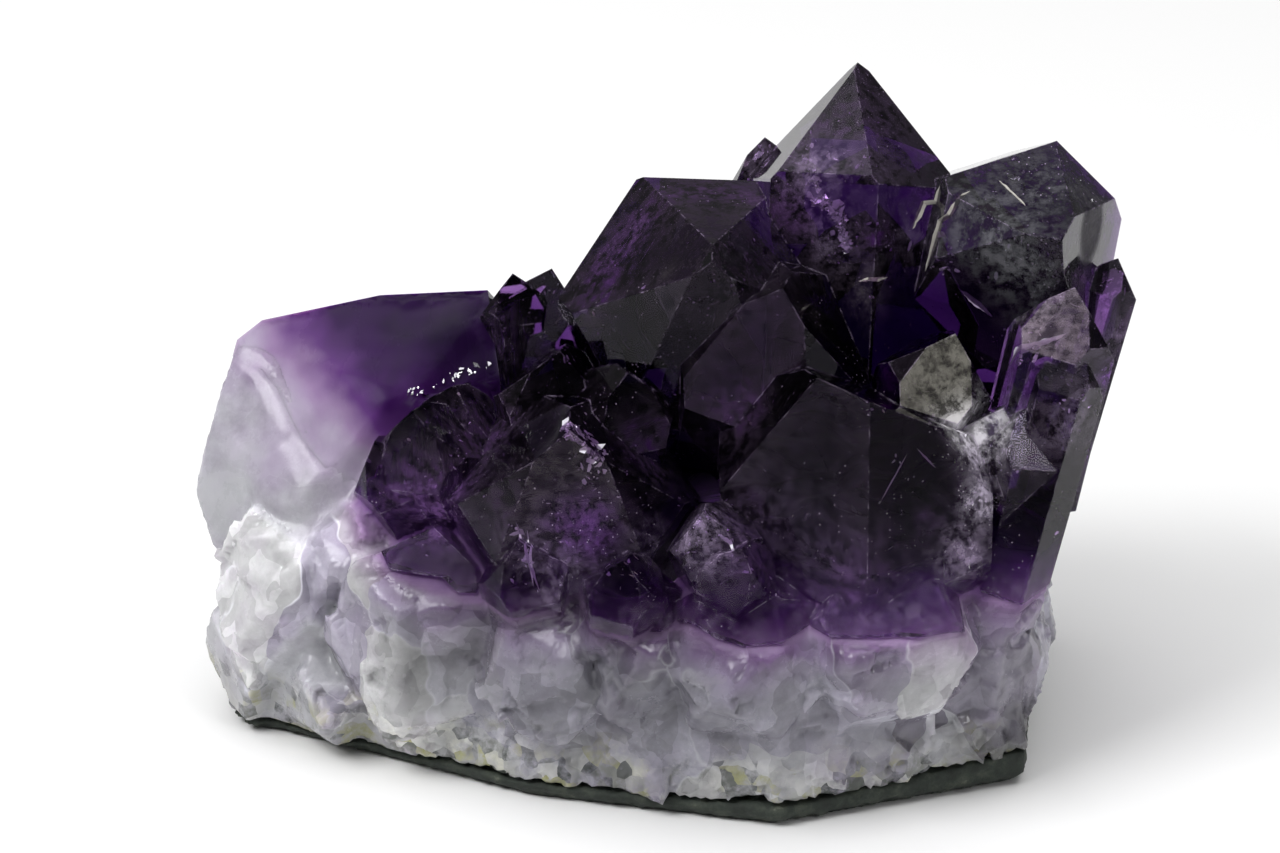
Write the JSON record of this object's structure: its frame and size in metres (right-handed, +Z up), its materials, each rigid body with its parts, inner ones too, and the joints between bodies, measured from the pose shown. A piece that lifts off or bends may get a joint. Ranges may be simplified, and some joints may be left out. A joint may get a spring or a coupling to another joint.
{
  "type": "amethyst cluster",
  "caption": "Natural cluster of six-sided purple amethyst points grown on milky quartz, over a thin skin of dark host rock.",
  "frame": {"origin": "on the flat underside, below the middle of the cluster's bounding box", "axes": "+Z up; the broad front with the most points faces -Y; +X to the right, where the tallest points stand"},
  "size_m": [0.1114, 0.0708, 0.0766],
  "materials": {
    "amethyst": "clear, polished natural crystal faces, pale at the roots and deep purple at the points",
    "milky_quartz": "cloudy, broken faces, granular near the rock",
    "basalt": "rough, dark green-black"
  },
  "bodies": {
    "root": {"amethyst_crystals": "amethyst", "quartz_bed": "milky_quartz", "basalt_rind": "basalt"}
  },
  "joints": []
}
